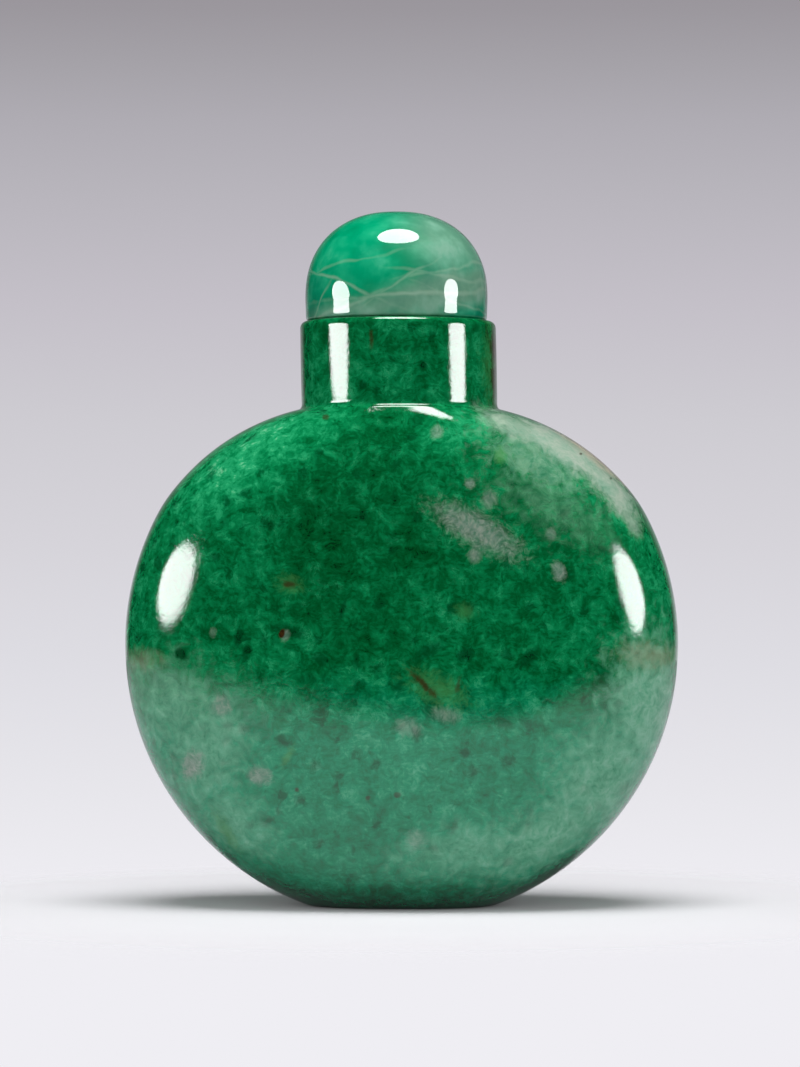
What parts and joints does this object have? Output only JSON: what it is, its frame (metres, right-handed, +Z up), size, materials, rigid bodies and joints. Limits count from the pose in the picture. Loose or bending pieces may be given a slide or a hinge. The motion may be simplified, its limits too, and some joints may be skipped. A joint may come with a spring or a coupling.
{
  "type": "snuff bottle",
  "caption": "Flattened round snuff bottle of polished mottled green stone, hollow, on a small flat foot, with a domed stopper in its neck.",
  "frame": {"origin": "middle of the flat foot, on its underside", "axes": "+Z up through the neck; the broad faces look along -Y, the front, and +Y; +X is to the right as seen from the front"},
  "size_m": [0.0504, 0.0246, 0.0632],
  "materials": {
    "mottled_jadeite": "high polish",
    "pale_jadeite": "high polish, translucent"
  },
  "bodies": {
    "root": {"bottle": "mottled_jadeite", "stopper": "pale_jadeite"}
  },
  "joints": []
}
